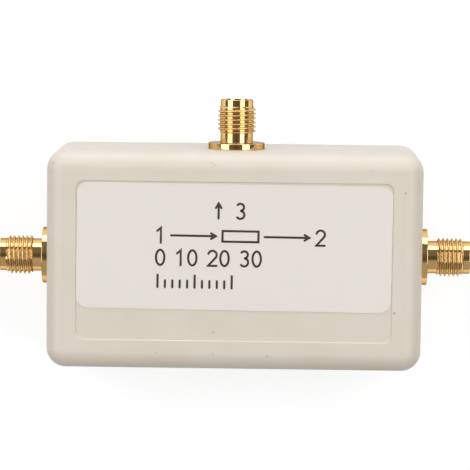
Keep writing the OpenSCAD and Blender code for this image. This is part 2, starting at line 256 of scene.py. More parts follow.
@dataclass(frozen=True)
class Finish:
    """A finish whose colour, gloss and surface drift a little from place to place."""

    name: str
    colour: Rgb
    shade: Rgb
    drift: float = 6.0
    roughness: Span = (0.4, 0.5)
    grain: float = 0.3
    grain_depth: float = 0.004
    metallic: float = 0.0
    ior: float = 1.5

    def body(self, graph: Graph) -> Socket:
        """Give the colour, which drifts between two."""
        share = graph.spread(graph.noise(self.drift), COLOUR_SPAN, (0, 1))
        return graph.blend(share, linear(self.colour), linear(self.shade))

    def surface(self, graph: Graph) -> None:
        """Add the fine relief."""
        graph.relief(graph.noise(self.grain, detail=4), self.grain_depth)

    @cache
    def material(self) -> Material:
        """Build the material, once for all the pieces that have it.

        Returns:
            The material, ready to assign.
        """
        graph = Graph.of_material(self.name)
        gloss = graph.spread(graph.noise(self.drift / GLOSS_FINENESS), GLOSS_SPAN, self.roughness)
        graph.set(Base_Color=self.body(graph), Roughness=gloss, Metallic=self.metallic, IOR=self.ior)
        self.surface(graph)
        return graph.owner


@dataclass(frozen=True)
class MouldedPlastic(Finish):
    """Satin moulded plastic with a spark-eroded texture and a few handling marks."""

    worn: tuple[Mark, ...] = ()
    dirt: Rgb = (150, 138, 122)
    wave: float = 7.0
    wave_depth: float = 0.02
    front_z: float = 20.0
    mark_reach: float = 4.0
    mark_core: float = 0.3

    def surface(self, graph: Graph) -> None:
        """Add slow waves from the mould and the fine texture over them."""
        graph.relief(graph.noise(self.wave, detail=1), self.wave_depth)
        super().surface(graph)

    def body(self, graph: Graph) -> Socket:
        """Give the colour, darkened in each mark.

        Args:
            graph: the material's nodes.

        Returns:
            The colour.
        """
        colour = super().body(graph)
        for mark in self.worn:
            colour = graph.blend(self.share(graph, mark), colour, linear(self.dirt))
        return colour

    def share(self, graph: Graph, mark: Mark) -> Socket:
        """Find how far a point lies inside a mark.

        Args:
            graph: the material's nodes.
            mark: the mark, which reaches only the front of the case.

        Returns:
            The mark's strength inside it, and 0 outside.
        """
        offset = graph.vector("SUBTRACT", graph.place, (mark.x * MM, mark.y * MM, self.front_z * MM))
        angle = -math.radians(mark.turn)
        turned = graph.add("VectorRotate", rotation_type="Z_AXIS", Vector=offset, Angle=angle)
        scale = (mark.length * MM / 2, mark.width * MM / 2, self.mark_reach * MM)
        reach = graph.vector("LENGTH", graph.vector("DIVIDE", turned.outputs[0], scale), out="Value")
        return graph.spread(reach, (1.0, self.mark_core), (0.0, mark.strength))


@dataclass(frozen=True)
class GoldPlate(Finish):
    """Bright gold over turned brass, with fine rings left by the tool."""

    along: Axis = Axis.X
    unevenness: float = 1.2
    ring_pitch: float = 0.09
    ring_length: float = 30.0
    ring_depth: float = 0.0006
    edge: Rgb = (150, 122, 92)

    def surface(self, graph: Graph) -> None:
        """Add turning rings across the jack's axis, over a faint unevenness of the plating.

        Args:
            graph: the material's nodes.
        """
        graph.set(Specular_Tint=linear(self.edge))
        graph.relief(graph.noise(self.unevenness, detail=2), self.grain_depth)
        stretch = tuple(1.0 if axis is self.along else self.ring_length for axis in Axis)
        graph.relief(graph.noise(self.ring_pitch, detail=2, stretch=stretch), self.ring_depth)


@dataclass(frozen=True)
class ChipCeramic(Finish):
    """Dark resistor glaze with tinned ends, told apart by the distance from the row's middle."""

    rows: tuple[float, ...] = ()
    half_body: float = 1.1
    tin: Rgb = (196, 196, 192)

    def body(self, graph: Graph) -> Socket:
        """Give the colour, which turns to tin at the chips' ends.

        Args:
            graph: the material's nodes.

        Returns:
            The colour.
        """
        across = graph.coordinate(Axis.Y)
        nearest: object = 1.0
        for row in self.rows:
            distance = graph.math("ABSOLUTE", graph.math("SUBTRACT", across, row * MM))
            nearest = graph.math("MINIMUM", distance, nearest)
        ends = graph.math("GREATER_THAN", nearest, self.half_body * MM)
        return graph.blend(ends, super().body(graph), linear(self.tin))


@dataclass(frozen=True)
class BoardLaminate(Finish):
    """Green solder mask over copper areas that show as a lighter green."""

    copper: Rgb = (52, 118, 74)
    copper_area: float = 7.0
    copper_edge: Span = (0.03, 0.04)

    def body(self, graph: Graph) -> Socket:
        """Give the mask's colour, lighter where copper lies under it.

        Args:
            graph: the material's nodes.

        Returns:
            The colour.
        """
        scale = 1 / (self.copper_area * MM)
        cells = graph.add("TexVoronoi", feature="DISTANCE_TO_EDGE", Vector=graph.place, Scale=scale)
        share = graph.spread(cells.outputs[0], self.copper_edge, (0, 1))
        return graph.blend(share, super().body(graph), linear(self.copper))


CASE_MARKS = (
    Mark(27.5, 11.5, 0.5, 0.35, 20, 0.9),
    Mark(26.0, -8.0, 0.55, 0.38, -30, 0.9),
    Mark(-3.2, -11.5, 0.55, 0.32, 10, 0.75),
    Mark(-7.1, -12.0, 0.5, 0.35, 0, 0.3),
    Mark(-3.3, -15.1, 0.9, 0.26, -56, 0.38),
    Mark(-12.5, -15.0, 0.5, 0.35, 90, 0.4),
    Mark(5.5, -15.3, 0.45, 0.35, 60, 0.8),
    Mark(-3.4, 15.8, 1.7, 0.16, -28, 0.4),
    Mark(22.1, 15.0, 1.6, 0.4, 15, 0.15),
    Mark(-29.4, 15.6, 0.6, 0.45, 70, 0.45),
)
CASE_PLASTIC = MouldedPlastic(
    "case_plastic", (219, 208, 194), (216, 205, 190), drift=9, roughness=(0.42, 0.5), grain=0.22,
    grain_depth=0.003, ior=1.46, worn=CASE_MARKS,
)
COVER_PLASTIC = replace(
    CASE_PLASTIC, name="cover_plastic", colour=(217, 207, 192), shade=(213, 202, 187),
    roughness=(0.44, 0.52), worn=(),
)
LABEL_FILM = Finish(
    "label_film", (229, 221, 214), (227, 220, 213), drift=5, roughness=(0.52, 0.6), grain=0.15,
    grain_depth=0.0015,
)
LABEL_INK = Finish(
    "label_ink", (48, 36, 29), (60, 47, 39), drift=0.5, roughness=(0.5, 0.6), grain=0.08,
    grain_depth=0.001,
)
GOLD_X = GoldPlate(
    "gold_plate_x", (236, 196, 134), (230, 188, 124), drift=2, roughness=(0.07, 0.12),
    grain_depth=0.002, metallic=1.0, along=Axis.X,
)
GOLD_Y = replace(GOLD_X, name="gold_plate_y", along=Axis.Y)
# The thread's crests and flanks: a rougher gold, and a paler copy of the gold colour that paints in the
# lighter reflections and glints seen on the thread
RIDGE_PAINTED_HIGHLIGHT_X = replace(
    GOLD_X, name="gold_thread_painted_highlight_x", colour=(244, 218, 168), shade=(236, 206, 152), drift=1,
    roughness=(0.22, 0.32), grain_depth=0.003, edge=(200, 185, 160),
)
RIDGE_PAINTED_HIGHLIGHT_Y = replace(RIDGE_PAINTED_HIGHLIGHT_X, name="gold_thread_painted_highlight_y", along=Axis.Y)
GOLD = {Wall.OUTPUT: GOLD_X, Wall.TEST: GOLD_Y, Wall.INPUT: GOLD_X}
RIDGE_PAINTED_HIGHLIGHT = {Wall.OUTPUT: RIDGE_PAINTED_HIGHLIGHT_X, Wall.TEST: RIDGE_PAINTED_HIGHLIGHT_Y, Wall.INPUT: RIDGE_PAINTED_HIGHLIGHT_X}
PTFE = Finish("ptfe", (238, 236, 228), (230, 227, 217), drift=1, roughness=(0.45, 0.6), grain=0.1, ior=1.38)
STEEL = Finish(
    "screw_steel", (188, 186, 180), (168, 166, 160), drift=1, roughness=(0.28, 0.4), grain=0.08,
    grain_depth=0.002, metallic=1.0,
)
TINNED = Finish(
    "tinned", (205, 205, 202), (184, 184, 180), drift=1.5, roughness=(0.3, 0.42), grain=0.2, metallic=1.0,
)
FERRITE = Finish(
    "ferrite", (58, 58, 62), (46, 46, 50), drift=1, roughness=(0.5, 0.7), grain=0.08, grain_depth=0.01,
)
JACKET = Finish("lead_jacket", (132, 84, 46), (118, 74, 40), drift=2, roughness=(0.25, 0.35))
LAMINATE = BoardLaminate(
    "board_laminate", (28, 84, 52), (24, 74, 46), drift=4, roughness=(0.3, 0.4), grain_depth=0.002,
)


class Draft:
    """Points and faces of one mesh while it is drawn, in millimetres."""

    def __init__(self) -> None:
        """Start an empty mesh."""
        self.points: list[Point] = []
        self.faces: list[list[int]] = []

    def ring(self, points: list[Point]) -> list[int]:
        """Add a closed row of points and give their numbers."""
        self.points.extend(points)
        return list(range(len(self.points) - len(points), len(self.points)))

    def bridge(self, first: list[int], second: list[int]) -> None:
        """Join two closed rows of equal length with quads."""
        for corners in zip(first, first[1:] + first[:1], second[1:] + second[:1], second):
            self.faces.append(list(corners))

    def stack(self, rings: list[list[Point]], capped: bool = True) -> None:
        """Skin a pile of closed rows.

        Args:
            rings: the rows in order, all of the same length.
            capped: whether the first and the last row are closed by a face.
        """
        rows = [self.ring(points) for points in rings]
        for first, second in zip(rows, rows[1:]):
            self.bridge(first, second)
        if capped:
            self.faces.append(rows[0][::-1])
            self.faces.append(rows[-1])

    def object(self, name: str, merge: float = 0.0, sharp: float = 35) -> Piece:
        """Turn the drawing into a Blender object in metres.

        Args:
            name: the object's name.
            merge: points closer than this many millimetres become one.
            sharp: edges that turn by more than this many degrees stay sharp.

        Returns:
            The object, linked to the scene.
        """
        mesh = bpy.data.meshes.new(name)
        mesh.from_pydata([tuple(c * MM for c in point) for point in self.points], [], self.faces)
        solid = bmesh.new()
        solid.from_mesh(mesh)
        if merge:
            bmesh.ops.remove_doubles(solid, verts=solid.verts, dist=merge * MM)
            bmesh.ops.dissolve_degenerate(solid, edges=solid.edges, dist=merge * MM / 2)
        bmesh.ops.recalc_face_normals(solid, faces=solid.faces)
        solid.to_mesh(mesh)
        solid.free()
        made = bpy.data.objects.new(name, mesh)
        bpy.context.scene.collection.objects.link(made)
        shade(made, sharp)
        return made


def shade(piece: Piece, sharp: float) -> None:
    """Shade a piece smooth, apart from edges that turn by more than an angle in degrees."""
    piece.data.shade_smooth()
    piece.data.set_sharp_from_angle(angle=math.radians(sharp))


def even_light(piece: Piece) -> None:
    """Let large flat faces set the shading at their edges."""
    weighted = piece.modifiers.new("even_light", "WEIGHTED_NORMAL")
    weighted.keep_sharp = True


def paint(piece: Piece, finish: Finish) -> None:
    """Give a piece one finish in place of what it has."""
    piece.data.materials.clear()
    piece.data.materials.append(finish.material())


def finish_piece(piece: Piece, finish: Finish) -> None:
    """Give a piece its finish and let it ride on the part.

    Args:
        piece: the piece.
        finish: its finish.
    """
    paint(piece, finish)
    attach(piece, ROOT)
    log.info("%s: %d faces, %s", piece.name, len(piece.data.polygons), finish.name)


def rounded_plan(length: float, width: float, radius: float, steps: int = 12) -> Plan:
    """Draw a rounded rectangle about the origin.

    Args:
        length: its size along X.
        width: its size along Y.
        radius: its corner radius.
        steps: the segments of each corner.

    Returns:
        Its points, anticlockwise.
    """
    points = []
    for quarter, (sx, sy) in enumerate(((1, 1), (-1, 1), (-1, -1), (1, -1))):
        cx, cy = sx * (length / 2 - radius), sy * (width / 2 - radius)
        for i in range(steps + 1):
            angle = math.pi / 2 * (quarter + i / steps)
            points.append((cx + radius * math.cos(angle), cy + radius * math.sin(angle)))
    return points


def circle_plan(radius: float, steps: int = 64) -> Plan:
    """Draw a circle about the origin as a list of points."""
    turns = [2 * math.pi * i / steps for i in range(steps)]
    return [(radius * math.cos(a), radius * math.sin(a)) for a in turns]


def arc(centre: Span, radius: float, start: float, stop: float, steps: int) -> Plan:
    """Draw a circular arc between two angles in degrees, with both of its ends."""
    angles = [math.radians(start + (stop - start) * i / steps) for i in range(steps + 1)]
    return [(centre[0] + radius * math.cos(a), centre[1] + radius * math.sin(a)) for a in angles]


def shifted(plan: Plan, x: float, y: float) -> Plan:
    """Move a plan by x and y."""
    return [(px + x, py + y) for px, py in plan]


def rectangle(x0: float, y0: float, x1: float, y1: float) -> Plan:
    """Draw a rectangle between two corners."""
    return [(x0, y0), (x1, y0), (x1, y1), (x0, y1)]


def prisms(carving: Carving, plans: list[Plan], low: float, high: float) -> list[Tool]:
    """Raise a tool on each of some plans.

    Args:
        carving: what the tools do.
        plans: their outlines.
        low: the height of their lower ends.
        high: the height of their upper ends.

    Returns:
        The tools.
    """
    tools = []
    for plan in plans:
        draft = Draft()
        draft.stack([[(x, y, z) for x, y in plan] for z in (low, high)])
        tools.append((carving, draft.object("tool")))
    return tools


def moulding(name: str, rims: list[list[Point]], tools: list[Tool]) -> Piece:
    """Skin one half of the case, join solids to it and cut others from it.

    Args:
        name: the object's name.
        rims: its rows in order.
        tools: the solids, which are dropped after use.

    Returns:
        The half.
    """
    draft = Draft()
    draft.stack(rims)
    half = draft.object(name, merge=2 * WELD)
    for carving, tool in tools:
        step = half.modifiers.new("carve", "BOOLEAN")
        step.operation = carving.value
        step.solver = "EXACT"
        step.object = tool
    graph = bpy.context.evaluated_depsgraph_get()
    carved = bpy.data.meshes.new_from_object(half.evaluated_get(graph))
    half.modifiers.clear()
    half.data = carved
    for _, tool in tools:
        bpy.data.objects.remove(tool)
    shade(half, CASE_SHARP)
    even_light(half)
    return half


@dataclass
class Case:
    """Both halves of the moulded case, with the recess, posts, ribs and holes."""

    wall: float = 2.0
    corner_r: float = 3.2
    least_corner_r: float = 0.05
    front_edge_r: float = 2.9
    front_hold: float = 0.4
    back_edge_r: float = 0.8
    cover_plate: float = 2.0
    lip_h: float = 1.5
    lip_t: float = 1.0
    lip_gap: float = 0.15
    lip_round: float = 0.2
    parting_r: float = 0.18
    recess_inset: float = 4.9
    recess_depth: float = 0.2
    recess_r: float = 1.3
    rim_r: float = 0.12
    post_r: float = 2.8
    post_gap: float = 0.25
    pilot_r: float = 1.12
    pilot_top: float = 12.5
    screw_head_r: float = 2.0
    screw_hole_r: float = 1.3
    counterbore_r: float = 2.35
    rib_t: float = 1.2
    rib_reach: float = 1.0
    support_x: float = 17.0
    standoff_r: float = 2.0
    standoff_hole_r: float = 0.8
    standoff_inset: float = 3.0
    jack_hole_r: float = 3.25
    round_steps: int = 14
    over: float = 0.5

    def __post_init__(self) -> None:
        """Take the outer sizes and the places of the inner pieces from the frame."""
        low, high = corner_box("rear_cover")
        self.length, self.width = high.x - low.x, high.y - low.y
        self.height = corner_box("front_shell")[1].z
        self.parting = corner_box("front_shell")[0].z
        self.inner_y = self.width / 2 - self.wall
        self.ceiling = self.height - self.wall
        screws = corner_box("cover_screws")[1]
        self.screw_x, self.screw_y = screws.x - self.screw_head_r, screws.y - self.screw_head_r
        self.board_low, self.board_high = corner_box("circuit_board")

    def rims(self, profile: Plan, radius: float | None = None) -> list[list[Point]]:
        """Draw the case's outline at each point of a profile.

        Args:
            profile: insets from the outer walls, and heights.
            radius: the corner radius, or None for one that follows the outer corner.

        Returns:
            The outlines in order.
        """
        rims = []
        for inset, z in profile:
            corner = max(self.corner_r - inset, self.least_corner_r) if radius is None else radius
            plan = rounded_plan(self.length - 2 * inset, self.width - 2 * inset, corner)
            rims.append([(x, y, z) for x, y in plan])
        return rims

    def at_screws(self, radius: float, steps: int = 64) -> list[Plan]:
        """Draw a circle at each of the four corner screws."""
        plan = circle_plan(radius, steps)
        return [shifted(plan, x * self.screw_x, y * self.screw_y) for x in (-1, 1) for y in (-1, 1)]

    def at_standoffs(self, radius: float, steps: int = 48) -> list[Plan]:
        """Draw a circle at each of the four stand-offs under the board."""
        rows = (self.board_low.y + self.standoff_inset, self.board_high.y - self.standoff_inset)
        return [shifted(circle_plan(radius, steps), x * self.support_x, y) for x in (-1, 1) for y in rows]

    def rib_plans(self) -> list[Plan]:
        """Draw the ribs that hold the board from the front.

        Returns:
            Two plans on each side, from inside the wall to over the board.
        """
        half = self.rib_t / 2
        reaches = (
            (self.board_high.y - self.rib_reach, self.inner_y + self.over),
            (-self.inner_y - self.over, self.board_low.y + self.rib_reach),
        )
        places = (-self.support_x, self.support_x)
        return [rectangle(x - half, near, x + half, far) for x in places for near, far in reaches]

    def jack_holes(self) -> list[Tool]:
        """Make the three drills for the jacks.

        Returns:
            A rod through each of the three walls that carry a jack.
        """
        plans = [circle_plan(self.jack_hole_r)] * len(JACKS)
        drills = prisms(Carving.CUT, plans, -self.wall - self.over, self.over)
        for jack, (_, rod) in zip(JACKS, drills):
            rod.data.transform(jack.placement())
        return drills

    def shell_rims(self) -> list[list[Point]]:
        """Draw the rows of the front shell, from the recess floor out and round to the ceiling.

        Returns:
            The rows in order.
        """
        rim, seam, edge = self.rim_r, self.parting_r, self.front_edge_r
        floor = self.height - self.recess_depth
        recess = [(self.recess_inset + rim / 2, floor)]
        recess += arc((self.recess_inset + rim / 2, floor + rim / 2), rim / 2, 270, 180, 3)
        recess += arc((self.recess_inset - rim, self.height - rim), rim, 0, 90, 6)
        walls = [(edge + self.front_hold, self.height)]
        walls += arc((edge, self.height - edge), edge, 90, 180, self.round_steps)
        walls += arc((seam, self.parting + seam), seam, 180, 270, 4)
        walls += [(self.wall, self.parting), (self.wall, self.ceiling)]
        return self.rims(recess, self.recess_r) + self.rims(walls)

    def build_shell(self) -> None:
        """Build the front shell."""
        low, top = self.parting - self.over, self.ceiling + self.over
        posts, pilots = self.at_screws(self.post_r), self.at_screws(self.pilot_r, 32)
        tools = prisms(Carving.JOIN, posts, self.parting, top)
        tools += prisms(Carving.JOIN, self.rib_plans(), self.board_high.z, top)
        tools += prisms(Carving.CUT, pilots, low, self.pilot_top)
        tools += self.jack_holes()
        shell = moulding("front_shell_moulding", self.shell_rims(), tools)
        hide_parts("front_shell")
        finish_piece(shell, CASE_PLASTIC)

    def build_cover(self) -> None:
        """Build the rear cover."""
        edge, seam, bend, lip = self.back_edge_r, self.parting_r, self.lip_round, self.wall + self.lip_gap
        plate, parting, lip_top = self.cover_plate, self.parting, self.parting + self.lip_h
        profile = arc((edge, edge), edge, 270, 180, 8)
        profile += arc((seam, parting - seam), seam, 180, 90, 4)
        profile.append((lip, parting))
        profile += arc((lip + bend, lip_top - bend), bend, 180, 90, 3)
        profile += [(lip + self.lip_t, lip_top), (lip + self.lip_t, plate)]
        room_for_posts, seats = self.at_screws(self.post_r + self.post_gap), self.at_screws(self.post_r)
        standoffs, cores = self.at_standoffs(self.standoff_r), self.at_standoffs(self.standoff_hole_r, 32)
        head_room, screw_holes = self.at_screws(self.counterbore_r), self.at_screws(self.screw_hole_r, 48)
        over, board = self.over, self.board_low.z
        tools = prisms(Carving.CUT, room_for_posts, parting, lip_top + over)
        tools += prisms(Carving.JOIN, seats, plate / 2, parting)
        tools += prisms(Carving.JOIN, standoffs, plate / 2, board)
        tools += prisms(Carving.CUT, head_room, -over, plate)
        tools += prisms(Carving.CUT, screw_holes, -over, parting + over)
        tools += prisms(Carving.CUT, cores, plate, board + over)
        cover = moulding("rear_cover_moulding", self.rims(profile), tools)
        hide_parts("rear_cover")
        finish_piece(cover, COVER_PLASTIC)


@dataclass(frozen=True)
class ThreadZone:
    """A stretch of thread between two heights, with the length of its bevel at either end."""

    low: float
    high: float
    low_bevel: float
    high_bevel: float


@dataclass
class Jack:
    """The turned body of one jack, with its helical thread, mouth and flange."""

    name: str
    wall: Wall
    thread_start: float
    flange_r: float = 4.6
    flange_t: float = 1.0
    flange_round: float = 0.12
    neck_r: float = 2.65
    neck_l: float = 1.6
    thread_r: float = 3.15
    thread_l: float = 4.35
    tip_l: float = 1.1
    barrel_l: float = 5.8
    mouth_r: float = 2.3
    mouth_depth: float = 1.9
    mouth_bevel: float = 0.05
    bore_r: float = 2.06
    pitch: float = 0.7056
    base: float = 0.5
    crest_round: float = 0.075
    crest_side: float = 0.8
    crest_steps: int = 6
    foot_round: tuple[Span, ...] = ((-0.03, 0.0), (0.0, 0.012), (0.02, 0.05))
    root_rise: float = 0.08
    root_step: float = 0.03
    lead_in: float = 0.5
    run_out: float = 0.12
    ridge_foot: float = 0.12
    rim_bevel: float = 0.12
    hold: float = 0.04
    around: int = 96

    @property
    def thread(self) -> Span:
        """Give the heights at which the coupling thread begins and ends."""
        return self.flange_t + self.neck_l, self.flange_t + self.neck_l + self.thread_l

    @property
    def length(self) -> float:
        """Give how far the jack stands out from its wall."""
        return self.thread[1] + self.tip_l

    def placement(self) -> Matrix:
        """Give the matrix from the jack's own frame, Z outward and Y up, to the part's.

        Returns:
            A matrix in metres.
        """
        low, high = corner_box(self.name + "_jack")
        x, y = self.wall.value
        outward = Vector((x, y, 0))
        foot = (low + high) / 2 + outward * (abs(outward.dot(high - low)) / 2 - self.length)
        turn = Matrix.Rotation(math.atan2(y, x), 4, "Z")
        upright = Euler((math.pi / 2, 0, math.pi / 2)).to_matrix().to_4x4()
        return Matrix.Translation(foot * MM) @ turn @ upright

    def ridge(self) -> Plan:
        """Draw one pitch of the thread as distance along the axis and radius.

        Returns:
            Points from the foot of one flank over a round crest to the foot of the other.
        """
        rise, half_base = self.thread_r - self.neck_r, self.base / 2
        curve, root = self.crest_round, self.root_rise
        slope = math.atan2(rise - root - curve / 2, half_base - self.crest_side * curve)
        flank = [(along - half_base, root + height) for along, height in self.foot_round]
        for i in range(self.crest_steps):
            lean = slope * (1 - i / self.crest_steps)
            flank.append((-curve * math.sin(lean), rise - curve * (1 - math.cos(lean))))
        whole = flank + [(0.0, rise)] + [(-along, height) for along, height in reversed(flank)]
        return [(along, self.neck_r + height) for along, height in whole]

    def helix(self, draft: Draft, zone: ThreadZone) -> None:
        """Wind a thread between two heights; it runs out on a bevel at both.

        Args:
            draft: the mesh that it joins.
            zone: where the thread begins and ends.
        """
        first = math.floor((zone.low - self.thread_start) / self.pitch) - 1
        last = math.ceil((zone.high - self.thread_start) / self.pitch) + 1
        ridge = self.ridge()
        rows: list[list[int]] = []
        for turn in range(first, last + 1):
            for along, radius in ridge:
                base = self.thread_start + turn * self.pitch + along
                rows.append(draft.ring([self.on_thread(i, base, radius, zone) for i in range(self.around)]))
        for m in range(len(rows) - 1):
            for i in range(self.around):
                j = (i + 1) % self.around
                here = m if j else m + len(ridge)
                if here + 1 < len(rows):
                    draft.faces.append([rows[m][i], rows[here][j], rows[here + 1][j], rows[m + 1][i]])

    def on_thread(self, i: int, base: float, radius: float, zone: ThreadZone) -> Point:
        """Find a point of the thread.

        Args:
            i: number of the point round the jack.
            base: height of its row where the angle is 0.
            radius: radius of its row.
            zone: where the thread begins and ends.

        Returns:
            The point, kept between the ends, and under the small root step and the bevel there.
        """
        angle = 2 * math.pi * i / self.around
        z = min(max(base + self.pitch * i / self.around, zone.low), zone.high)
        step, past_low, past_high = self.root_step, z - zone.low, zone.high - z
        root = self.root_rise * min(past_low, past_high, step) / step
        share = min((past_low - step) / zone.low_bevel, (past_high - step) / zone.high_bevel)
        ridge = (self.thread_r - self.neck_r - self.root_rise) * max(share, 0.0)
        r = min(radius, self.neck_r + root + ridge)
        return (r * math.cos(angle), r * math.sin(angle), z)

    def turned(self, draft: Draft, profile: Plan) -> None:
        """Turn a profile of radius and height about the axis into an open skin."""
        rings = [[(x, y, z) for x, y in circle_plan(radius, self.around)] for radius, z in profile]
        draft.stack(rings, capped=False)

    def profiles(self) -> tuple[Plan, Plan]:
        """Draw what is turned below and above the coupling thread.

        Returns:
            Radii and heights of the flange with the neck, and of the tip with the inside.
        """
        root, rim, top, end = self.neck_r, self.flange_r, self.flange_t, self.length
        edge, bevel, hold = self.flange_round, self.rim_bevel, self.hold
        flange = [(root, 0.0), (rim - edge / 2, 0.0)]
        flange += arc((rim - edge / 2, edge / 2), edge / 2, 270, 360, 3)[1:]
        flange += [(rim, edge / 2 + hold), (rim, top - edge - hold)]
        flange += arc((rim - edge, top - edge), edge, 0, 90, 5)
        flange += [(rim - edge - hold, top), (root + bevel + hold, top)]
        flange += arc((root + bevel, top + bevel), bevel, 270, 180, 4)
        flange += [(root, top + bevel + hold), (root, self.thread[0])]
        floor, step = end - self.mouth_depth, self.mouth_bevel
        tip = [(root, self.thread[1]), (root, end - bevel - hold)]
        tip += arc((root - bevel, end - bevel), bevel, 0, 90, 4)
        tip += arc((self.mouth_r + bevel / 2, end - bevel / 2), bevel / 2, 90, 180, 3)
        tip += [(self.mouth_r, floor + step), (self.mouth_r - step, floor), (self.bore_r, floor)]
        return flange, tip + [(self.bore_r, -self.barrel_l), (root, -self.barrel_l)]

    def build(self) -> None:
        """Build the jack's body, duller on the coupling thread's crests and flanks, where a paler gold is a
        painted highlight.
        """
        flange, tip = self.profiles()
        draft = Draft()
        self.helix(draft, ThreadZone(-self.barrel_l, 0.0, self.lead_in, self.run_out))
        self.turned(draft, flange)
        self.helix(draft, ThreadZone(*self.thread, self.run_out, self.lead_in))
        self.turned(draft, tip)
        body = draft.object(self.name + "_jack_body", merge=WELD, sharp=JACK_SHARP)
        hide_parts(self.name + "_jack")
        finish_piece(body, GOLD[self.wall])
        # The second material is the paler thread gold, a painted highlight on the crests and flanks
        body.data.materials.append(RIDGE_PAINTED_HIGHLIGHT[self.wall].material())
        foot = (self.neck_r + self.ridge_foot) * MM
        for face in body.data.polygons:
            beyond_flange = face.center.z > (self.flange_t + self.rim_bevel) * MM
            if beyond_flange and face.center.xy.length > foot:
                face.material_index = 1
        body.data.transform(self.placement())


JACKS = (
    Jack("output", Wall.OUTPUT, thread_start=0.18),
    Jack("test", Wall.TEST, thread_start=0.425),
    Jack("input", Wall.INPUT, thread_start=0.48),
)


@dataclass
class Label:
    """The film label, and its print of plain numbers, arrows and a scale."""

    length: float = 51.0
    width: float = 20.5
    thickness: float = 0.08
    radius: float = 1.9
    turn: float = -0.35
    edge: float = 0.04
    ink_t: float = 0.012
    stroke: float = 0.36
    touch: float = 1e-6
    least_turn: float = 0.45
    figure_h: float = 2.45
    figure_w: float = 1.35
    rows: tuple[float, ...] = (8.25, 4.15, 0.55, -3.05)
    left: float = -12.6
    right: float = 14.6
    up_arrow_x: float = -2.6
    top_figure_x: float = 0.3
    arrow_l: float = 7.2
    arrow_gap: float = 1.0
    first_arrow: float = 2.4
    head_l: float = 0.75
    head_spread: float = 0.6
    box: Span = (-1.9, 3.9)
    box_share: float = 0.7
    digit_gap: float = 0.6
    number_gap: float = 1.3
    ticks: int = 11
    ticks_in_span: int = 5
    first_tick: float = 0.3
    tick_gap: float = 1.2
    tick_shares: Span = (0.8, 0.45)
    strokes: list[Plan] = field(default_factory=list)

    def __post_init__(self) -> None:
        """Take the label's place from the frame."""
        low, high = corner_box("face_label")
        self.centre = (low + high) / 2
        spot = Vector((self.centre.x, self.centre.y, low.z))
        self.place = Matrix.Translation(spot) @ Matrix.Rotation(math.radians(self.turn), 4, "Z")

    def laid(self, plan: Plan, z: float) -> list[Point]:
        """Turn a plan at a height over the label's back into points of the part's frame."""
        return [tuple(self.place @ Vector((x, y, z))) for x, y in plan]

    def build_film(self) -> None:
        """Build the film with softened edges."""
        shoulder = self.thickness - self.edge
        profile = [(0.0, 0.0)] + arc((self.edge, shoulder), self.edge, 180, 90, 3)
        rings = []
        for inset, z in profile:
            plan = rounded_plan(self.length - 2 * inset, self.width - 2 * inset, self.radius - inset)
            rings.append(self.laid(plan, z))
        draft = Draft()
        draft.stack(rings)
        piece = draft.object("label_film")
        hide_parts("face_label")
        finish_piece(piece, LABEL_FILM)
        even_light(piece)

    def figure(self, digit: Digit, x: float, y: float) -> float:
        """Draw a numeral as one stroke of the pen, by shares of its width and height.

        Args:
            digit: the numeral.
            x: its left edge.
            y: the middle of its row.

        Returns:
            Its right edge.
        """
        w, h = self.figure_w, self.figure_h
        if digit is Digit.ZERO:
            turns = [math.tau * i / 28 for i in range(29)]
            shape = [(w / 2 + w / 2 * math.cos(a), h / 2 + h / 2 * math.sin(a)) for a in turns]
        elif digit is Digit.ONE:
            shape = [(w * 0.12, h * 0.78), (w * 0.55, h), (w * 0.55, 0.0)]
        elif digit is Digit.TWO:
            shape = arc((w / 2, h - w / 2), w / 2, 165, -35, 14) + [(0.0, 0.0), (w, 0.0)]
        else:
            upper, lower = h * 0.235, h * 0.265
            shape = arc((w * 0.45, h - upper), upper, 140, -90, 12)
            shape += arc((w * 0.45, lower), lower, 90, -140, 12)
        self.strokes.append(shifted(shape, x, y - h / 2))
        return x + w

    def line(self, *points: Span) -> None:
        """Draw a plain line through points."""
        self.strokes.append(list(points))

    def arrow(self, x: float, y: float, length: float, direction: Span) -> None:
        """Draw an arrow.

        Args:
            x: where it starts.
            y: where it starts.
            length: its length.
            direction: a unit vector along it.
        """
        dx, dy = direction
        tip = (x + dx * length, y + dy * length)
        head, flare = self.head_l, self.head_spread
        self.line((x, y), tip)
        left = (tip[0] - head * (dx + dy * flare), tip[1] - head * (dy - dx * flare))
        right = (tip[0] - head * (dx - dy * flare), tip[1] - head * (dy + dx * flare))
        self.line(left, tip, right)

    def draw_print(self) -> None:
        """Draw the four rows: the top port, the path between the side ports, numbers and a scale."""
        top, path, numbers, scale = (row - self.centre.y for row in self.rows)
        half = self.figure_h / 2
        self.arrow(self.up_arrow_x, top - half, self.figure_h, (0, 1))
        self.figure(Digit.THREE, self.top_figure_x, top)
        self.figure(Digit.ONE, self.left, path)
        self.arrow(self.left + self.first_arrow, path, self.arrow_l, (1, 0))
        (box_l, box_r), rise = self.box, half * self.box_share
        frame_line = rectangle(box_l, path - rise, box_r, path + rise)
        self.line(*frame_line, frame_line[0])
        self.arrow(box_r + self.arrow_gap, path, self.arrow_l, (1, 0))
        self.figure(Digit.TWO, self.right - self.figure_w, path)
        x = self.left
        for tens in Digit:
            x = self.figure(tens, x, numbers) + self.digit_gap
            if tens is not Digit.ZERO:
                x = self.figure(Digit.ZERO, x, numbers) + self.digit_gap
            x += self.number_gap
        for tick in range(self.ticks):
            along = self.left + self.first_tick + tick * self.tick_gap
            height = self.figure_h * self.tick_shares[tick % self.ticks_in_span > 0]
            self.line((along, scale - half), (along, scale - half + height))

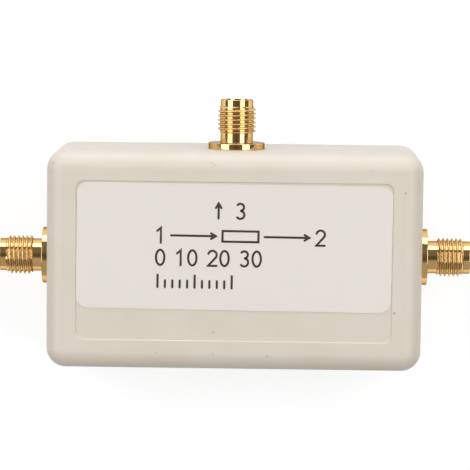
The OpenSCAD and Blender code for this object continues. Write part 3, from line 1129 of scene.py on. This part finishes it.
    def ribbon(self, draft: Draft, path: Plan, height: float) -> None:
        """Turn a line into a flat stroke with a round pen at both ends.

        Args:
            draft: the mesh that it joins.
            path: the line.
            height: height of the stroke's top face.
        """
        half, count = self.stroke / 2, len(path)
        left, right = [], []
        closed = math.dist(path[0], path[-1]) < self.touch
        for i, point in enumerate(path):
            before = path[i - 1] if i else (path[-2] if closed else point)
            after = path[i + 1] if i + 1 < count else (path[1] if closed else point)
            a = Vector((point[0] - before[0], point[1] - before[1]))
            b = Vector((after[0] - point[0], after[1] - point[1]))
            a = a.normalized() if a.length else b.normalized()
            b = b.normalized() if b.length else a
            mean = (a + b).normalized()
            reach = half / max(mean.dot(a), self.least_turn)
            left.append((point[0] - mean.y * reach, point[1] + mean.x * reach))
            right.append((point[0] + mean.y * reach, point[1] - mean.x * reach))
        row = draft.ring(self.laid(left + right[::-1], height))
        for i in range(count - 1):
            draft.faces.append([row[i], row[2 * count - 1 - i], row[2 * count - 2 - i], row[i + 1]])
        for end, inner in () if closed else ((path[0], path[1]), (path[-1], path[-2])):
            heading = math.degrees(math.atan2(end[1] - inner[1], end[0] - inner[0]))
            cap = arc(end, half, heading - 90, heading + 90, 8)
            draft.faces.append(draft.ring(self.laid(cap, height)))

    def build_print(self) -> None:
        """Build the print as a thin layer of ink, its strokes at three heights so that none coincide."""
        self.draw_print()
        draft = Draft()
        for i, stroke in enumerate(self.strokes):
            self.ribbon(draft, stroke, self.thickness + self.ink_t * (1 + i % 3 / 3))
        piece = draft.object("label_print", merge=WELD)
        body = piece.modifiers.new("ink_body", "SOLIDIFY")
        body.thickness, body.offset = self.ink_t * MM, -1
        finish_piece(piece, LABEL_INK)


class Fittings:
    """The pieces that keep their CAD shape: jack inserts, screws, and all on the board."""

    @staticmethod
    def dress(finish: Finish, *nodes: str) -> None:
        """Put a finish on CAD nodes.

        Args:
            finish: the finish.
            nodes: the nodes' names.
        """
        for node in nodes:
            paint(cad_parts[node], finish)
            log.info("%s: CAD shape, %s", node, finish.name)

    @staticmethod
    def glaze() -> ChipCeramic:
        """Set the resistors' finish by the middles of their two rows.

        Returns:
            The finish.
        """
        low, high = corner_box("reference_resistors")
        half = (high.y - low.y) / 2
        rows = (low.y + half, corner_box("bridge_resistors")[1].y - half)
        finish = ChipCeramic("chip_glaze", (38, 38, 40), (30, 30, 32), drift=0.8, roughness=(0.3, 0.45))
        return replace(finish, rows=rows)

    def build(self) -> None:
        """Dress every CAD node that stays."""
        for jack in JACKS:
            name = jack.name
            self.dress(PTFE, name + "_insulator")
            self.dress(GOLD[jack.wall], name + "_contact", name + "_nut", name + "_lock_washer")
            self.dress(TINNED, name + "_ground_tag")
        self.dress(STEEL, "cover_screws")
        self.dress(LAMINATE, "circuit_board")
        self.dress(self.glaze(), "bridge_resistors", "reference_resistors")
        self.dress(FERRITE, "balun_beads")
        self.dress(JACKET, "coax_jacket")
        self.dress(PTFE, "coax_dielectric")
        self.dress(TINNED, "pin_solder", "coax_conductor")


@dataclass(frozen=True)
class Softbox:
    """A rectangular lamp that faces the part from a direction, level along its width."""

    name: str
    bearing: float
    lean: float
    distance: float
    width: float
    height: float
    radiance: float
    shift: Point = (0, 0, 0)
    tint: Point = (1, 1, 1)

    def build(self) -> None:
        """Place the lamp; its power is what gives its face the radiance."""
        lamp = bpy.data.lights.new(self.name, "AREA")
        lamp.shape = "RECTANGLE"
        lamp.color = self.tint
        lamp.size, lamp.size_y = self.width * MM, self.height * MM
        lamp.energy = self.radiance * math.pi * lamp.size * lamp.size_y
        holder = bpy.data.objects.new(self.name, lamp)
        bpy.context.scene.collection.objects.link(holder)
        lean, bearing = math.radians(self.lean), math.radians(self.bearing)
        out = math.sin(lean)
        way = Vector((out * math.cos(bearing), out * math.sin(bearing), math.cos(lean)))
        holder.location = (way * self.distance + Vector(self.shift)) * MM
        holder.rotation_mode = "QUATERNION"
        holder.rotation_quaternion = way.to_track_quat("Z", "Y")
        holder.visible_camera = False


@dataclass
class Studio:
    """Camera, floor, lamps and the dim room round them."""

    camera_at: Point = (6.135, 50.041, 452.091)
    camera_turn: Point = (-6.034, 0.794, 0.731)
    lens: float = 206.16
    sensor: float = 36.0
    clip: Span = (10.0, 20000.0)
    floor_size: float = 6000.0
    floor_grain: float = 60.0
    floor_tone: Span = (0.34, 0.36)
    floor_glow: float = 0.72
    floor_roughness: float = 0.9
    room_front: float = 0.47
    room_back: float = 0.2
    room_side: float = 0.14
    overhead: float = 0.1
    front_to_back: Span = (-0.35, 0.02)
    middle_to_side: Span = (0.12, 0.4)
    low_to_overhead: Span = (0.93, 0.995)
    lamps: tuple[Softbox, ...] = (
        Softbox("left_softbox", 180, 47.5, 600, 720, 368, 2.72, (0, 110, 0)),
        Softbox("right_softbox", 0, 39.5, 600, 720, 310, 3.26, (0, 110, 0)),
        Softbox("back_softbox", 90, 77, 600, 840, 321, 3.32, tint=(0.94, 1.0, 1.08)),
    )

    def place_camera(self) -> None:
        """Set up the camera at the photograph's viewing angle."""
        view = bpy.data.cameras.new("camera")
        view.lens, view.sensor_width = self.lens, self.sensor
        view.clip_start, view.clip_end = (distance * MM for distance in self.clip)
        holder = bpy.data.objects.new("camera", view)
        bpy.context.scene.collection.objects.link(holder)
        holder.location = Vector(self.camera_at) * MM
        holder.rotation_mode = "ZYX"
        holder.rotation_euler = [math.radians(angle) for angle in self.camera_turn]
        bpy.context.scene.camera = holder

    def lay_floor(self) -> None:
        """Lay the pale floor that the part lies on."""
        half = self.floor_size / 2
        draft = Draft()
        draft.faces.append(draft.ring([(x, y, 0.0) for x, y in rectangle(-half, -half, half, half)]))
        floor = draft.object("floor")
        graph = Graph.of_material("floor_paper")
        tone = graph.spread(graph.noise(self.floor_grain, detail=2), GLOSS_SPAN, self.floor_tone)
        colour = graph.add("CombineColor", tone, tone, tone).outputs[0]
        rays = graph.add("LightPath").outputs
        seen = graph.math("MAXIMUM", rays["Is Camera Ray"], rays["Is Glossy Ray"])
        seen = graph.math("MAXIMUM", seen, rays["Is Transmission Ray"])
        glow = graph.math("MULTIPLY", seen, self.floor_glow)
        graph.set(Base_Color=colour, Roughness=self.floor_roughness)
        graph.set(Emission_Color=(1, 1, 1, 1), Emission_Strength=glow)
        floor.data.materials.append(graph.owner)

    def fill_room(self) -> None:
        """Light the room: brightest in front of the part, dim behind, dark at the sides and overhead."""
        world = bpy.data.worlds.new("room")
        bpy.context.scene.world = world
        graph = Graph(world, "Background", "Generated")
        sideways = graph.math("ABSOLUTE", graph.coordinate(Axis.X))
        strength = graph.spread(
            graph.coordinate(Axis.Y), self.front_to_back, (self.room_front, self.room_back)
        )
        strength = graph.spread(sideways, self.middle_to_side, (strength, self.room_side))
        strength = graph.spread(graph.coordinate(Axis.Z), self.low_to_overhead, (strength, self.overhead))
        graph.set(Strength=strength, Color=(1, 1, 1, 1))

    def build(self) -> None:
        """Set up the whole studio."""
        settings = bpy.context.scene.view_settings
        settings.view_transform = "Standard"
        self.place_camera()
        self.lay_floor()
        self.fill_room()
        for lamp in self.lamps:
            lamp.build()


def main() -> None:
    """Build the studio and then the part, sub-assembly by sub-assembly."""
    logging.basicConfig(level=logging.INFO, format="%(name)s %(message)s")
    Studio().build()
    case = Case()
    case.build_shell()
    case.build_cover()
    label = Label()
    label.build_film()
    label.build_print()
    for jack in JACKS:
        jack.build()
    Fittings().build()


if __name__ == "__main__":
    main()
